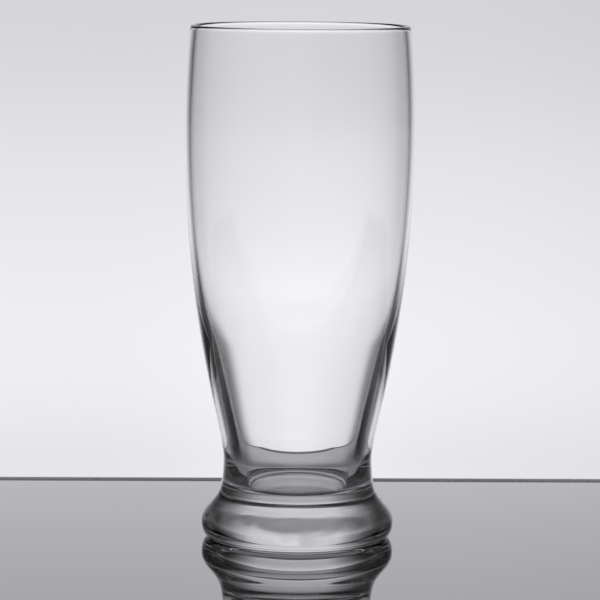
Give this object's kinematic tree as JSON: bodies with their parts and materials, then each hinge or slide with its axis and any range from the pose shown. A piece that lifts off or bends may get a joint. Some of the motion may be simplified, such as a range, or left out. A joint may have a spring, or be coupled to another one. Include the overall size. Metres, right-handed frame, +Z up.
{
  "type": "footed cooler glass",
  "caption": "Tall clear drinking glass with a softly bellied bowl, thick tapering lower wall, narrow waist and heavy round solid foot, for cold drinks.",
  "frame": {"origin": "centre of the underside, on the surface that the glass stands on", "axes": "+Z up along the axis of the glass, through the open mouth"},
  "size_m": [0.076, 0.076, 0.171],
  "materials": {
    "bowl_glass": "clear, fire-polished",
    "foot_glass": "clear, pressed"
  },
  "bodies": {
    "root": {"bowl": "bowl_glass", "foot": "foot_glass"}
  },
  "joints": []
}
